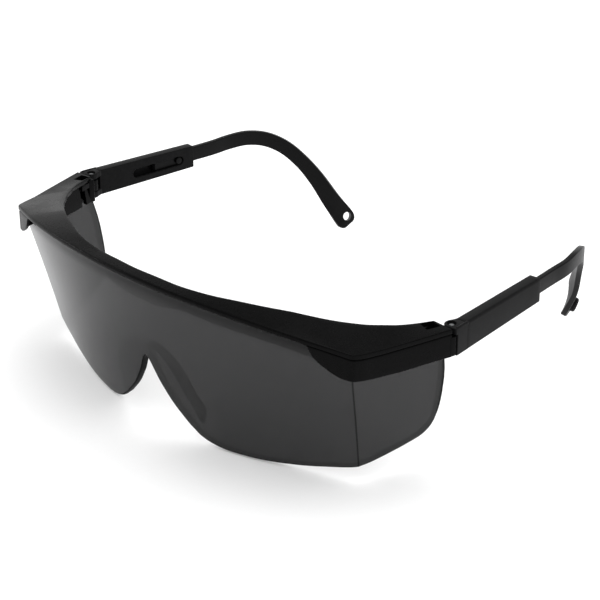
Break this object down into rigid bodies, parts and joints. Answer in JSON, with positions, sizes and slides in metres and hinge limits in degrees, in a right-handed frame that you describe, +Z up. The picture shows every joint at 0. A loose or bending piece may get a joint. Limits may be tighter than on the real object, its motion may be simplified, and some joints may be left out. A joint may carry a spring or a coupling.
{
  "type": "safety glasses",
  "caption": "Wraparound safety glasses: black brow frame, one-piece smoke lens with side shields, folding temples with length-adjusting ear tips.",
  "frame": {"origin": "centre of the footprint, level with the lowest edge of the lens", "axes": "+X to the wearer's left, +Y backwards along the temples, +Z up; the front faces -Y"},
  "size_m": [0.156, 0.1406, 0.0512],
  "materials": {
    "frame_nylon": "satin-gloss moulded black nylon with slight wear on edges",
    "sleeve_nylon": "satin moulded black nylon, flat sides",
    "tip_nylon": "satin moulded black nylon",
    "smoke_lens": "polished smoke-grey polycarbonate with a hard coat",
    "pin_metal": "plain steel pin with a flat head"
  },
  "bodies": {
    "frame": {"brow_frame": "frame_nylon", "lens": "smoke_lens", "hinge_pin_left": "pin_metal", "hinge_pin_right": "pin_metal"},
    "sleeve_left": {"temple_sleeve_left": "sleeve_nylon"},
    "sleeve_right": {"temple_sleeve_right": "sleeve_nylon"},
    "tip_left": {"temple_tip_left": "tip_nylon"},
    "tip_right": {"temple_tip_right": "tip_nylon"}
  },
  "joints": [
    {"name": "temple_fold_left", "type": "hinge", "parent": "frame", "child": "sleeve_left", "pos_m": [0.0746, -0.02134, 0.0405], "axis": [0, 0, 1], "range_deg": [0, 90]},
    {"name": "temple_fold_right", "type": "hinge", "parent": "frame", "child": "sleeve_right", "pos_m": [-0.0746, -0.02134, 0.0405], "axis": [0, 0, -1], "range_deg": [0, 80]},
    {"name": "temple_length_left", "type": "slide", "parent": "sleeve_left", "child": "tip_left", "axis": [-0.1096, 0.994, 0], "range_m": [-0.0088, 0]},
    {"name": "temple_length_right", "type": "slide", "parent": "sleeve_right", "child": "tip_right", "axis": [0.1096, 0.994, 0], "range_m": [-0.0088, 0]}
  ]
}
